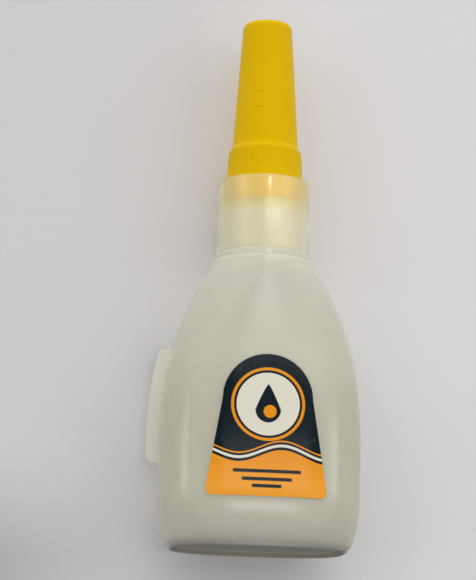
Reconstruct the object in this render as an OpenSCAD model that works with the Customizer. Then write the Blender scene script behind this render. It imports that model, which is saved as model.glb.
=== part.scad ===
// Squeeze bottle for liquid adhesive: an oval bottle, a clipped-on nozzle and a tall screw cap
// with a steel sealing pin. Z runs up the bottle's axis, the front label faces -Y, and the
// origin is the centre of the base.

/* [Bottle] */
// Width of the body, across X
body_w = 36; // [34:0.5:42]
// Depth of the body, across Y
body_d = 22; // [20.5:0.5:27]
// Height of the oval body, from the base to the boss
body_h = 51.5; // [46:0.5:60]
// Width of the base
base_w = 32.4; // [28:0.2:33]
// Depth of the base
base_d = 17.2; // [15:0.2:19]
// Height over which the sides turn under to the base
foot_h = 9.8; // [6:0.1:12]
// Height at which the sides start to draw in to the boss
shoulder_z = 16.6; // [13:0.1:24]
// Wall of the blown body
wall = 1; // [0.7:0.1:1.4]
// Thickness of the floor over the push-up
floor_t = 1.2; // [0.8:0.1:2]
// Height of the push-up under the base
push_up = 0.8; // [0.4:0.1:1.5]
// Width of the flat ring that the bottle stands on
rest_w = 1.4; // [1:0.1:2.5]
// Height of the adhesive above the base
fill_z = 36; // [14:0.5:42]

/* [Neck] */
// Diameter of the boss that the collar seats on
boss_d = 18.6; // [17.4:0.1:20]
// Height of the boss
boss_h = 2.2; // [1.2:0.1:4]
// Rounding of the boss's upper edge
boss_round = 0.6; // [0.2:0.1:1]
// Outside diameter of the neck
neck_d = 12; // [11.5:0.1:13]
// Wall of the neck
neck_wall = 1.6; // [1.2:0.1:2.2]
// Height of the neck above the boss
neck_h = 7; // [5:0.1:9]
// Height of the snap bead over the neck
snap_h = 0.4; // [0.2:0.05:0.6]

/* [Nozzle] */
// Wall of the collar around the neck
collar_wall = 2.3; // [1.9:0.1:2.7]
// Wall of the collar around the cap's skirt
rim_wall = 0.9; // [0.7:0.1:1.2]
// Depth of the well that takes the cap's skirt
well_depth = 4.9; // [4:0.1:7]
// Thickness of the deck that carries the spout
deck_t = 1.5; // [1:0.1:2.5]
// Height of the spout's tip above the collar's rim
spout_rise = 21.7; // [16:0.1:28]
// Diameter of the spout's tip
spout_tip_d = 3.2; // [2.6:0.1:4]
// Wall of the spout at its root
spout_wall = 1.6; // [1.2:0.1:2.2]
// Length of the straight outlet
outlet_len = 8; // [6.5:0.1:12]

/* [Cap] */
// Wall of the cap's threaded skirt
skirt_wall = 1.6; // [1.3:0.1:1.8]
// Height of the flared grip above the collar's rim
grip_h = 7; // [5:0.1:10]
// Diameter of the cap's cone where it leaves the grip
cone_d = 12; // [11.2:0.1:12.8]
// Diameter of the cone at its top
cone_top_d = 8.9; // [8:0.1:10]
// Wall of the cone
cap_wall = 1.1; // [0.8:0.1:1.4]
// Thickness of the crown
crown_t = 2.4; // [2:0.1:3]
// Rounding of the crown's edge
crown_round = 1.6; // [0.6:0.1:1.9]

/* [Thread] */
// Height of a thread ridge
thread_h = 0.6; // [0.45:0.05:0.7]
// Distance between neighbouring ridges, along the axis
thread_pitch = 2.5; // [2.2:0.1:3]

/* [Sealing pin] */
// Diameter of the pin
pin_d = 1.1; // [0.8:0.05:1.5]
// Length of the pin inside the outlet
pin_reach = 6; // [3:0.1:8]
// Length of the boss inside the cap that holds the pin
pin_boss_h = 6.1; // [3:0.1:9]
// Wall of the boss that holds the pin
pin_boss_wall = 1.2; // [0.8:0.1:1.4]

/* [Labels] */
// Width of the front label at its foot
label_w = 21.8; // [17:0.1:26]
// Height of the front label's foot above the base
label_z = 8.3; // [7:0.1:12]
// Height of the front label's straight sides
label_side_h = 17.3; // [10:0.1:19]
// Radius of the front label's arched top
label_arch_r = 8; // [5:0.1:9]
// Height of the back label's foot above the base
back_label_z = 16.5; // [8:0.1:20]
// Height of the back label
back_label_h = 21; // [12:0.1:24]
// Distance from the bottle's side to the back label's fixed edge
back_label_inset = 3; // [2:0.1:6]
// How far the back label's loose edge stands out past the bottle's side
back_label_lift = 1; // [0.3:0.1:1]
// Thickness of the label film
label_t = 0.12; // [0.08:0.01:0.2]

/* [Hidden] */
$fn = 96;

// Fits and clearances
overrun = 0.5;
neck_fit = 0.1;
plug_fit = 0.05;
deck_gap = 0.2;
well_gap = 0.6;
well_floor_gap = 0.6;
thread_gap = 0.2;
pin_fit = 0.03;
outlet_fit = 0.07;
seat_gap = 0.3;
film_gap = 0.05;
fill_gap = 0.15;

// Facets of the lofted shapes
body_sides = 56;
foot_rings = 7;
shoulder_rings = 15;
cavity_rings = 16;
front_label_columns = 16;
back_label_columns = 32;
label_rows = 22;
thread_step_deg = 12;
round_steps = 6;

// Shape of the body's sections: a rounded oblong that becomes a circle at the boss
oblong_power = 3;
round_power = 2;
foot_power = 2.2;
shoulder_power = 2.6;

// Radii of the neck, the collar and the cap, each from the piece inside or outside it
boss_r = boss_d / 2;
boss_ledge = 0.1;
shoulder_r = boss_r + boss_ledge;
neck_r = neck_d / 2;
neck_bore_r = neck_r - neck_wall;
collar_r = neck_r + neck_fit + collar_wall;
well_r = collar_r - rim_wall;
skirt_r = well_r - well_gap;
cap_bore_r = skirt_r - skirt_wall;
spout_thread_r = cap_bore_r - thread_gap;
spout_r = spout_thread_r - thread_h;
spout_tip_r = spout_tip_d / 2;
channel_r = spout_r - spout_wall;
pin_r = pin_d / 2;
outlet_r = pin_r + outlet_fit;
pin_hole_r = pin_r + pin_fit;
pin_boss_r = pin_hole_r + pin_boss_wall;
cone_r = cone_d / 2;
cone_top_r = cone_top_d / 2;

// Heights up the axis
floor_z = push_up + floor_t;
cavity_top_z = body_h - wall;
collar_z = body_h + boss_h;
neck_top_z = collar_z + neck_h;
deck_z = neck_top_z + deck_gap;
well_z = deck_z + deck_t;
rim_z = well_z + well_depth;
spout_top_z = rim_z + spout_rise;
skirt_z = well_z + well_floor_gap;
grip_z = rim_z + grip_h;
seat_z = spout_top_z + seat_gap;
ceiling_z = seat_z + pin_boss_h;
cap_top_z = ceiling_z + crown_t;
pin_hole_z = ceiling_z + crown_t / 2;
pin_z = spout_top_z - pin_reach;

// The snap bead on the neck, with a steep underside and a long lead-in above
snap_z = collar_z + neck_h / 2;
snap_under_h = 0.3;
snap_flat_h = 0.4;
snap_lead_h = 1.2;

// The plug that seals the nozzle inside the neck's bore
plug_wall = 0.8;
plug_h = 2.2;
plug_r = neck_bore_r - plug_fit;

// The boss: a low band that rises out of the shoulder, a groove and a rounded bead above it
band_step = 0.25;
band_r = boss_r + band_step;
band_h = 0.5;
band_z = body_h + band_h;
groove_h = 0.3;
groove_depth = 0.2;
collar_round = 0.5;

// The grip's bell shape: straight, then a soft shoulder in to the cone
grip_draft = 0.3;
grip_shoulder_h = 1.5;

// The threads: two starts, right-handed
thread_starts = 2;
thread_lead = thread_pitch * thread_starts;
thread_root_w = 1.1;
thread_crest_w = 0.6;
thread_sink = 0.25;
thread_fade_deg = 24;
fade_end_share = 0.25;
thread_margin = 0.4;

// Corners and tip of the labels
label_corner_r = 1.4;
label_tip_w = 0.8;
back_corner_r = 1.5;
loose_from_share = 0.62;

natural_pe = [0.8, 0.8, 0.72];
milky_pe = [0.72, 0.73, 0.67];
cap_yellow = [0.82, 0.67, 0.01];
pin_steel = [0.7, 0.71, 0.73];
label_navy = [0.09, 0.14, 0.19];
label_white = [0.86, 0.86, 0.83];
adhesive_clear = [0.85, 0.87, 0.85];

// Share of the turn-under and of the shoulder that is reached at a height
function foot_share(z) = z < foot_h ? pow((foot_h - z) / foot_h, foot_power) : 0;
function shoulder_share(z) =
    z > shoulder_z ? pow((z - shoulder_z) / (body_h - shoulder_z), shoulder_power) : 0;

// Half width, half depth and squareness of the body at a height
function half(full, base, z) =
    full / 2 - foot_share(z) * (full - base) / 2 - shoulder_share(z) * (full / 2 - shoulder_r);
function half_w(z) = half(body_w, base_w, z);
function half_d(z) = half(body_d, base_d, z);
function power_at(z) = oblong_power + shoulder_share(z) * (round_power - oblong_power);

// One section: points around a rounded oblong of half width w and half depth d
function reach(a, w, d, p) = pow(pow(abs(cos(a)) / w, p) + pow(abs(sin(a)) / d, p), -1 / p);
function section(w, d, p, z) = [
    for (i = [0 : body_sides - 1])
        let (a = 360 * i / body_sides, r = reach(a, w, d, p))
            [r * cos(a), r * sin(a), z]
];
function body_section(z, inset) = section(half_w(z) - inset, half_d(z) - inset, power_at(z), z);

// Distance of the body's face from the XZ plane at x and z, and its fall per unit of x
function face_y(x, z) =
    half_d(z) * pow(1 - pow(abs(x) / half_w(z), power_at(z)), 1 / power_at(z));
function face_fall(x, z) =
    half_d(z) / half_w(z) * pow(abs(x) / half_w(z) * half_d(z) / face_y(x, z), power_at(z) - 1);

// Heights of the rings: close at the foot, then up the shoulder
function steps(from, to, count) = [for (i = [0 : count]) from + (to - from) * i / count];
function body_heights() =
    concat(steps(0, foot_h, foot_rings), steps(shoulder_z, body_h, shoulder_rings));

// A closed solid through rings of points, from the lowest to the highest
module loft(rings) {
    n = len(rings[0]);
    points = [for (ring = rings) each ring];
    sides = [
        for (j = [0 : len(rings) - 2], i = [0 : n - 1])
            let (a = j * n + i, b = j * n + (i + 1) % n)
                each [[a, a + n, b], [b, a + n, b + n]]
    ];
    bottom = [for (i = [0 : n - 1]) i];
    top = [for (i = [n - 1 : -1 : 0]) (len(rings) - 1) * n + i];
    polyhedron(points, concat([bottom], sides, [top]));
}

// A closed film between two like grids of points, each a list of rows
module film(outside, inside) {
    rows = len(outside);
    columns = len(outside[0]);
    count = rows * columns;
    points = [for (grid = [outside, inside]) each [for (row = grid) each row]];
    faces = [
        for (j = [0 : rows - 2], i = [0 : columns - 2])
            let (a = j * columns + i, b = a + columns)
                each [
                    [a, b, a + 1], [a + 1, b, b + 1],
                    [count + a, count + a + 1, count + b], [count + a + 1, count + b + 1, count + b]
                ]
    ];
    edge = concat(
        [for (i = [0 : columns - 2]) i],
        [for (j = [0 : rows - 2]) j * columns + columns - 1],
        [for (i = [columns - 1 : -1 : 1]) (rows - 1) * columns + i],
        [for (j = [rows - 1 : -1 : 1]) j * columns]
    );
    rim = [
        for (i = [0 : len(edge) - 1])
            let (a = edge[i], b = edge[(i + 1) % len(edge)])
                each [[a, b, count + a], [b, count + b, count + a]]
    ];
    polyhedron(points, concat(faces, rim));
}

// A ring turned from a profile of [radius, height] points
module turned(profile) {
    rotate_extrude() polygon(profile);
}

// Points of a rounded outer edge of radius r, from the side to the top face
function rounded_edge(edge_r, top_z, r) = [
    for (i = [0 : round_steps])
        let (a = 90 * i / round_steps)
            [edge_r - r + r * cos(a), top_z - r + r * sin(a)]
];

// One thread ridge on a wall of radius wall_r: side is 1 for an outer wall and -1 for a bore
module thread_ridge(wall_r, side, from_z, to_z, start_deg) {
    turn_deg = (to_z - from_z) / thread_lead * 360;
    count = ceil(turn_deg / thread_step_deg);
    sink_r = wall_r - side * thread_sink;
    rings = [
        for (i = [0 : count])
            let (
                t = turn_deg * i / count,
                fade_share = min(1, t / thread_fade_deg, (turn_deg - t) / thread_fade_deg),
                crest_r = sink_r + side * (thread_sink + thread_h) * max(fade_share, fade_end_share),
                a = start_deg + t,
                z = from_z + thread_lead * t / 360,
                profile = [
                    [sink_r, -thread_root_w / 2], [crest_r, -thread_crest_w / 2],
                    [crest_r, thread_crest_w / 2], [sink_r, thread_root_w / 2]
                ]
            )
                [for (p = side < 0 ? profile : [for (k = [3 : -1 : 0]) profile[k]])
                    [p[0] * cos(a), p[0] * sin(a), z + p[1]]]
    ];
    loft(rings);
}

// The blown bottle: oval body with a push-up base, round boss and neck with its snap bead
module bottle() {
    rest_ring = section(base_w / 2 - rest_w, base_d / 2 - rest_w, oblong_power, 0);
    push_ring =
        section(base_w / 2 - rest_w - push_up, base_d / 2 - rest_w - push_up, oblong_power, push_up);
    outside = [for (z = body_heights()) body_section(z, 0)];
    cavity_z = steps(floor_z, cavity_top_z - wall, cavity_rings);
    mouth_r = neck_bore_r - wall / 2;
    mouth = section(mouth_r, mouth_r, round_power, cavity_top_z);
    cavity = concat([for (z = cavity_z) body_section(z, wall)], [mouth]);
    neck = concat(
        [
            [0, cavity_top_z - 2 * wall],
            [band_r, cavity_top_z - 2 * wall],
            [band_r, band_z],
            [boss_r - groove_depth, band_z],
            [boss_r - groove_depth, band_z + groove_h / 2],
            [boss_r, band_z + groove_h]
        ],
        rounded_edge(boss_r, collar_z, boss_round),
        [
            [neck_r, collar_z],
            [neck_r, snap_z],
            [neck_r + snap_h, snap_z + snap_under_h],
            [neck_r + snap_h, snap_z + snap_under_h + snap_flat_h],
            [neck_r, snap_z + snap_under_h + snap_flat_h + snap_lead_h],
            [neck_r, neck_top_z],
            [0, neck_top_z]
        ]
    );
    color(milky_pe) difference() {
        union() {
            loft(concat([push_ring, rest_ring], outside));
            turned(neck);
        }
        loft(cavity);
        translate([0, 0, cavity_top_z - wall / 2])
            cylinder(r = neck_bore_r, h = neck_top_z - cavity_top_z + wall / 2 + overrun);
    }
}

// The clipped-on nozzle: collar, deck, sealing plug and threaded spout in one moulding
module nozzle() {
    grip_r = neck_r + neck_fit;
    snap_r = grip_r + snap_h;
    plug_z = deck_z - deck_gap - plug_h;
    outside = concat(
        [[grip_r, collar_z], [collar_r, collar_z]],
        rounded_edge(collar_r, rim_z, collar_round),
        [
            [well_r, rim_z],
            [well_r, well_z],
            [spout_r, well_z],
            [spout_r, rim_z],
            [spout_tip_r, spout_top_z],
            [outlet_r, spout_top_z],
            [outlet_r, spout_top_z - outlet_len],
            [channel_r, well_z],
            [channel_r, deck_z],
            [plug_r - plug_wall, deck_z],
            [plug_r - plug_wall, plug_z],
            [plug_r, plug_z],
            [plug_r, deck_z],
            [grip_r, deck_z],
            [grip_r, snap_z + snap_under_h + snap_flat_h + snap_lead_h + neck_fit],
            [snap_r, snap_z + snap_under_h + snap_flat_h + neck_fit],
            [snap_r, snap_z + snap_under_h - neck_fit],
            [grip_r, snap_z - neck_fit]
        ]
    );
    color(natural_pe) union() {
        turned(outside);
        for (k = [0 : thread_starts - 1])
            thread_ridge(
                spout_r, 1, well_z + thread_margin + thread_root_w / 2,
                rim_z - thread_margin, 360 * k / thread_starts
            );
    }
}

// The tall screw cap: threaded skirt in the collar's well, flared grip, cone and pin boss
module cap() {
    grip_top_r = skirt_r - grip_draft;
    inner_top_r = cone_top_r - cap_wall;
    inner_z = grip_z + grip_shoulder_h;
    thread_z = skirt_z + thread_margin + thread_root_w / 2;
    helix_z = well_z + thread_margin + thread_root_w / 2 + thread_pitch / 2;
    start_deg = (thread_z - helix_z) / thread_lead * 360;
    bell = [
        for (i = [0 : round_steps])
            let (a = 90 * i / round_steps)
                [
                    cone_r + (grip_top_r - cone_r) * cos(a),
                    grip_z - grip_shoulder_h + grip_shoulder_h * sin(a)
                ]
    ];
    profile = concat(
        [[cap_bore_r, skirt_z], [skirt_r, skirt_z], [skirt_r, rim_z]],
        bell,
        rounded_edge(cone_top_r, cap_top_z, crown_round),
        [
            [0, cap_top_z],
            [0, pin_hole_z],
            [pin_hole_r, pin_hole_z],
            [pin_hole_r, seat_z],
            [pin_boss_r, seat_z],
            [pin_boss_r, ceiling_z],
            [inner_top_r, ceiling_z],
            [cone_r - cap_wall, inner_z],
            [cap_bore_r, rim_z + thread_pitch]
        ]
    );
    color(cap_yellow) union() {
        turned(profile);
        for (k = [0 : thread_starts - 1])
            thread_ridge(
                cap_bore_r, -1, thread_z, rim_z + thread_margin,
                start_deg + 360 * k / thread_starts
            );
    }
}

// The steel pin that the cap carries into the outlet
module sealing_pin() {
    color(pin_steel) translate([0, 0, pin_z])
        cylinder(r = pin_r, h = pin_hole_z - seat_gap - pin_z);
}

// Half width of the front label at a height: rounded foot, slanting sides and an arched top
function label_half(z) =
    let (
        up = z - label_z,
        side = label_w / 2 + (label_arch_r - label_w / 2) * min(1, up / label_side_h),
        over = max(0, up - label_side_h),
        arch = sqrt(max(0, label_arch_r * label_arch_r - over * over)),
        under = max(0, label_corner_r - up),
        corner = label_corner_r - sqrt(label_corner_r * label_corner_r - under * under)
    )
        max(label_tip_w / 2, (over > 0 ? arch : side) - corner);

// Heights of a label's rows, close together at its ends
function label_heights(from, h) =
    [for (j = [0 : label_rows]) from + h * (1 - cos(180 * j / label_rows)) / 2];

// The front label: a film that follows the body's front face
module front_label() {
    heights = label_heights(label_z, label_side_h + label_arch_r);
    function grid(out) = [
        for (z = heights)
            let (w = label_half(z))
                [for (x = steps(-w, w, front_label_columns)) [x, -face_y(x, z) - out, z]]
    ];
    color(label_navy) film(grid(film_gap + label_t), grid(film_gap));
}

// The back label: its edge at +X is stuck down, and its edge at -X has come loose and stands straight out
module back_label() {
    top_z = back_label_z + back_label_h;
    function corner(z) =
        let (under = max(0, back_corner_r - min(z - back_label_z, top_z - z)))
            back_corner_r - sqrt(back_corner_r * back_corner_r - under * under);
    function back_y(x, z) =
        let (loose_x = loose_from_share * half_w(z))
            x > -loose_x ? face_y(x, z) : face_y(loose_x, z) - face_fall(loose_x, z) * (-loose_x - x);
    function grid(out) = [
        for (z = label_heights(back_label_z, back_label_h))
            let (
                loose_edge = half_w(z) + back_label_lift - corner(z),
                fixed_edge = half_w(z) - back_label_inset - corner(z)
            )
                [for (x = steps(fixed_edge, -loose_edge, back_label_columns)) [x, back_y(x, z) + out, z]]
    ];
    color(label_white) film(grid(film_gap + label_t), grid(film_gap));
}

// The liquid adhesive, up to its level in the standing bottle
module adhesive_fill() {
    color(adhesive_clear)
        loft([for (z = steps(floor_z + fill_gap, fill_z, cavity_rings)) body_section(z, wall + fill_gap)]);
}

bottle();
nozzle();
cap();
sealing_pin();
front_label();
back_label();
adhesive_fill();
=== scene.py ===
import math

import bmesh
import bpy
from mathutils import Matrix, Vector


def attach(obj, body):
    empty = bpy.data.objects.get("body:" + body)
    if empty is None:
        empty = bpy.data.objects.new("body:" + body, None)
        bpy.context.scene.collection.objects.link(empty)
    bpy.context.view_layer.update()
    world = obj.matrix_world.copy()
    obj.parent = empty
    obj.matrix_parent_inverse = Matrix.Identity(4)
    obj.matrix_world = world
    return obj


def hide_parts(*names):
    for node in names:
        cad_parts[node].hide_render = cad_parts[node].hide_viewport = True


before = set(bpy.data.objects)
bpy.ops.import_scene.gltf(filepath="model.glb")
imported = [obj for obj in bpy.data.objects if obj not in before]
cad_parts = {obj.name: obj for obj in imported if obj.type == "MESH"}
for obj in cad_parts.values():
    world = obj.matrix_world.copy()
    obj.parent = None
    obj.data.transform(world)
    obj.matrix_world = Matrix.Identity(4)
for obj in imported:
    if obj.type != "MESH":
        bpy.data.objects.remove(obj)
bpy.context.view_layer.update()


# BOTTLE
# A blown shell of milky polyethylene, flat and oval, drawn in to a round boss and a neck.
# The mould closes along the narrow sides and pinches the base shut, which leaves fine seams there.

mm = 0.001
body_sizes = {
    "Body Width": 36 * mm,
    "Body Depth": 22 * mm,
    "Body Height": 51.5 * mm,
    "Base Width": 32.4 * mm,
    "Base Depth": 17.2 * mm,
    "Foot Height": 9.8 * mm,
    "Shoulder Start": 16.6 * mm,
    "Shoulder Radius": 9.4 * mm,
    "Foot Power": 2.2,
    "Shoulder Power": 2.6,
    "Side Power": 3.0,
}
wall = 1.0
push_up = 0.8
band_radius, band_low, band_top = 9.55, 49.4, 51.9


def plug(value, slot):
    """Joins a number or an output to a node's input, or sets the input to a plain value."""
    value = getattr(value, "socket", value)
    if isinstance(value, bpy.types.NodeSocket):
        slot.id_data.links.new(value, slot)
    else:
        slot.default_value = value


def add(tree, kind, sockets=(), **settings):
    """Adds a node with its settings, then fills its inputs by name or by place."""
    node = tree.nodes.new(kind)
    for name, value in settings.items():
        setattr(node, name, value)
    for name, value in dict(sockets).items():
        plug(value, node.inputs[name])
    return node


class Number:
    """A number in a node tree, so that a rule made of Math nodes reads as plain arithmetic."""

    def __init__(self, socket):
        self.socket = socket

    def step(self, operation, *others):
        numbers = enumerate((self, *others))
        return Number(add(self.socket.id_data, "ShaderNodeMath", numbers, operation=operation).outputs[0])

    def __add__(self, other):
        return self.step("ADD", other)

    def __sub__(self, other):
        return self.step("SUBTRACT", other)

    def __rsub__(self, other):
        return self.step("MULTIPLY_ADD", -1.0, other)

    def __mul__(self, other):
        return self.step("MULTIPLY", other)

    def __rmul__(self, other):
        return self.step("MULTIPLY", other)

    def __truediv__(self, other):
        return self.step("DIVIDE", other)

    def __rtruediv__(self, other):
        return self.step("POWER", -1.0) * other

    def __pow__(self, other):
        return self.step("POWER", other)

    def __abs__(self):
        return self.step("ABSOLUTE")

    def at_least(self, other):
        return self.step("MAXIMUM", other)

    def at_most(self, other):
        return self.step("MINIMUM", other)

    def share(self):
        return self.at_least(0.0).at_most(1.0)


def new_tree(kind, name, inputs, outputs):
    """An empty node tree with named sockets, its inputs as numbers where they can be, and its outputs."""
    tree = bpy.data.node_groups.new(name, kind)
    for side, sockets in (("INPUT", inputs), ("OUTPUT", outputs)):
        for label, socket in sockets.items():
            tree.interface.new_socket(label, in_out=side, socket_type="NodeSocket" + socket)
    given = {s.name: Number(s) for s in tree.nodes.new("NodeGroupInput").outputs if s.name}
    return tree, given, tree.nodes.new("NodeGroupOutput").inputs


def oval_rule_tree():
    """Half width, half depth and squareness at a height: the foot turns under, the shoulder draws in."""
    sizes = dict.fromkeys(body_sizes, "Float")
    outputs = dict.fromkeys(("Half Width", "Half Depth", "Power"), "Float")
    tree, given, result = new_tree("GeometryNodeTree", "oval_rule", {"Height": "Float", **sizes}, outputs)
    foot = (1 - given["Height"] / given["Foot Height"]).at_least(0.0) ** given["Foot Power"]
    rise = given["Body Height"] - given["Shoulder Start"]
    shoulder = ((given["Height"] - given["Shoulder Start"]) / rise).at_least(0.0) ** given["Shoulder Power"]
    for way in ("Width", "Depth"):
        full, base = given["Body " + way], given["Base " + way]
        half = full / 2 - foot * (full - base) / 2 - shoulder * (full / 2 - given["Shoulder Radius"])
        plug(half, result["Half " + way])
    plug(given["Side Power"] - shoulder * (given["Side Power"] - 2.0), result["Power"])
    return tree


oval_rule = oval_rule_tree()


def oval_at(tree, height, given):
    """Half width, half depth and squareness of the body at a height, inside another tree."""
    sizes = {"Height": height, **{name: given[name] for name in body_sizes}}
    node = add(tree, "GeometryNodeGroup", sizes, node_tree=oval_rule)
    return [Number(node.outputs[name]) for name in ("Half Width", "Half Depth", "Power")]


def ring_grid(tree, line, sides):
    """A grid with one row per point of a line and one column per side, with each vertex's row and turn."""
    rows = add(tree, "GeometryNodeAttributeDomainSize", {"Geometry": line}).outputs["Point Count"]
    counts = {"Vertices X": sides + 1.0, "Vertices Y": rows}
    grid = add(tree, "GeometryNodeMeshGrid", counts).outputs["Mesh"]
    index = Number(add(tree, "GeometryNodeInputIndex").outputs[0])
    column = ((index + 0.5) / rows).step("FLOOR")
    return grid, index - column * rows + 0.1, column / sides


def read_row(tree, line, row, value, kind="FLOAT"):
    """A value of the line's point that belongs to a row."""
    sockets = {"Geometry": line, "Value": value, "Index": row}
    return add(tree, "GeometryNodeSampleIndex", sockets, data_type=kind, domain="POINT").outputs["Value"]


def read_channel(tree, line, row, name):
    """A named number of the line's point that belongs to a row."""
    channel = add(tree, "GeometryNodeInputNamedAttribute", {"Name": name}, data_type="FLOAT")
    return Number(read_row(tree, line, row, channel.outputs["Attribute"]))


def read_place(tree, line, row):
    """Radius and height of the line's point that belongs to a row."""
    place = add(tree, "GeometryNodeInputPosition").outputs[0]
    place = add(tree, "ShaderNodeSeparateXYZ", {0: read_row(tree, line, row, place, "FLOAT_VECTOR")})
    return Number(place.outputs[0]), Number(place.outputs[2])


def finish_tree(tree, result, mesh, place, material):
    """Moves the vertices to their places, closes seams and poles, and ends the tree."""
    seam_gap = 0.01 * mm
    mesh = add(tree, "GeometryNodeSetPosition", {"Geometry": mesh, "Position": place}).outputs[0]
    mesh = add(tree, "GeometryNodeMergeByDistance", {"Geometry": mesh, "Distance": seam_gap}).outputs[0]
    mesh = add(tree, "GeometryNodeSetShadeSmooth", {"Geometry": mesh}).outputs[0]
    mesh = add(tree, "GeometryNodeRealizeInstances", {"Geometry": mesh}).outputs[0]
    mesh = add(tree, "GeometryNodeSetMaterial", {"Geometry": mesh, "Material": material}).outputs[0]
    plug(mesh, result[0])


def blown_shell_tree():
    """Lofts a shell through stations: an oval section of the rule, or a circle where that is wider."""
    sockets = {"Stations": "Geometry", "Sides": "Int", "Material": "Material"}
    sockets.update(dict.fromkeys(body_sizes, "Float"))
    tree, given, result = new_tree("GeometryNodeTree", "blown_shell", sockets, {"Shell": "Geometry"})
    line = given["Stations"]
    grid, row, turn = ring_grid(tree, line, given["Sides"])
    radius, level = read_place(tree, line, row)
    half_w, half_d, power = oval_at(tree, read_channel(tree, line, row, "rule_height"), given)
    inset, closing = (read_channel(tree, line, row, name) for name in ("inset", "closing"))
    half_w, half_d = (half_w - inset) * closing, (half_d - inset) * closing
    cos, sin = ((turn * math.tau).step(wave) for wave in ("COSINE", "SINE"))
    oval = ((abs(cos) / half_w) ** power + (abs(sin) / half_d) ** power) ** (-1 / power)
    reach = oval.at_least(radius)
    place = add(tree, "ShaderNodeCombineXYZ", enumerate((reach * cos, reach * sin, level)))
    finish_tree(tree, result, grid, place.outputs[0], given["Material"])
    return tree


blown_shell = blown_shell_tree()


def point_line(name, rows, channels):
    """A line for a tree: each row is a radius, a height and one number per named channel."""
    mesh = bpy.data.meshes.new(name)
    places = [(row[0] * mm, 0, row[1] * mm) for row in rows]
    mesh.from_pydata(places, [(i, i + 1) for i in range(len(rows) - 1)], [])
    for i, channel in enumerate(channels):
        values = [row[2 + i] for row in rows]
        mesh.attributes.new(channel, "FLOAT", "POINT").data.foreach_set("value", values)
    return mesh


def grown(name, tree, start, sizes):
    """Runs a tree on a starting mesh and keeps what it makes as a plain mesh that faces outwards."""
    sharp_deg = 38
    piece = bpy.data.objects.new(name, start)
    bpy.context.scene.collection.objects.link(piece)
    modifier = piece.modifiers.new(tree.name, "NODES")
    modifier.node_group = tree
    for socket in tree.interface.items_tree:
        if socket.name in sizes:
            modifier[socket.identifier] = sizes[socket.name]
    shape = piece.evaluated_get(bpy.context.evaluated_depsgraph_get())
    mesh = bpy.data.meshes.new_from_object(shape)
    piece.modifiers.clear()
    piece.data = mesh
    shell = bmesh.new()
    shell.from_mesh(mesh)
    bmesh.ops.recalc_face_normals(shell, faces=shell.faces)
    shell.to_mesh(mesh)
    shell.free()
    mesh.set_sharp_from_angle(angle=math.radians(sharp_deg))
    mesh.name = name
    return piece


def spaced(first, last, count):
    """Evenly spaced numbers, both ends included."""
    return [first + (last - first) * i / (count - 1) for i in range(count)]


pole = 0.0001  # the share of a section that is left where a shell closes to a point


def oval_row(height, inset=0.0, closing=1.0, level=None, least=0.0):
    """A station on the oval body, from sizes in millimetres: radius, level and the rule's channels."""
    return (least, height if level is None else level, height * mm, inset * mm, closing)


def round_row(radius, level):
    """A station on a turned part of the bottle."""
    return (radius, level, 0.0, 0.0, pole)


def shader_tree(name):
    """A new material with its Principled shader, and its tree."""
    material = bpy.data.materials.new(name)
    material.use_nodes = True
    return material, material.node_tree, material.node_tree.nodes["Principled BSDF"]


def object_place(tree):
    """The Object coordinates as a vector and as three numbers in millimetres."""
    vector = add(tree, "ShaderNodeTexCoord").outputs["Object"]
    parts = add(tree, "ShaderNodeSeparateXYZ", {0: vector}).outputs
    return vector, [Number(part) * 1000.0 for part in parts]


def noise(tree, vector, scale, detail, roughness=0.5, distortion=0.0):
    """Noise over a surface, as a number around one half."""
    sockets = {"Vector": vector, "Scale": scale, "Detail": detail}
    sockets.update({"Roughness": roughness, "Distortion": distortion})
    return Number(add(tree, "ShaderNodeTexNoise", sockets).outputs["Fac"])


def moulded_skin_group():
    """Surface of a plastic moulding: fine grain, slow waves in the wall, and a slightly uneven gloss."""
    wave_scale, cloud_scale, grain_gloss = 160.0, 70.0, 0.06
    inputs = dict.fromkeys(("Grain", "Grain Height", "Wave Height", "Gloss", "Spread"), "Float")
    outputs = dict.fromkeys(("Height", "Roughness", "Cloud"), "Float")
    tree, given, result = new_tree("ShaderNodeTree", "moulded_skin", inputs, outputs)
    vector, _ = object_place(tree)
    grain = noise(tree, vector, given["Grain"], 3.0)
    waves = noise(tree, vector, wave_scale, 2.0, 0.4)
    cloud = noise(tree, vector, cloud_scale, 4.0, 0.6)
    plug(grain * given["Grain Height"] + waves * given["Wave Height"], result["Height"])
    gloss = given["Gloss"] + (cloud - 0.5) * given["Spread"]
    plug(gloss + (grain - 0.5) * grain_gloss, result["Roughness"])
    plug(((cloud - 0.3) * 2.5).share(), result["Cloud"])
    return tree


moulded_skin = moulded_skin_group()


def skin(tree, **values):
    """Places the moulded skin in a material, and gives its height, roughness and cloud."""
    sockets = {name.replace("_", " ").title(): value for name, value in values.items()}
    node = add(tree, "ShaderNodeGroup", sockets, node_tree=moulded_skin)
    return [Number(node.outputs[name]) for name in ("Height", "Roughness", "Cloud")]


def blended(tree, under, over, share):
    """One colour over another by a share."""
    return add(tree, "ShaderNodeMix", {0: share, 6: under, 7: over}, data_type="RGBA").outputs[2]


def bumped(tree, shader, height):
    """Feeds a height in millimetres to the shader's normal."""
    bump = add(tree, "ShaderNodeBump", {"Strength": 1.0, "Distance": mm, "Height": height})
    plug(bump.outputs["Normal"], shader.inputs["Normal"])


def pass_light(tree, shader, share):
    """Lets a share of the light through a wall of milky or clear plastic, so that its shadow stays pale."""
    shadow = Number(add(tree, "ShaderNodeLightPath").outputs["Is Shadow Ray"])
    plug(1 - shadow * share, shader.inputs["Alpha"])


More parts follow.
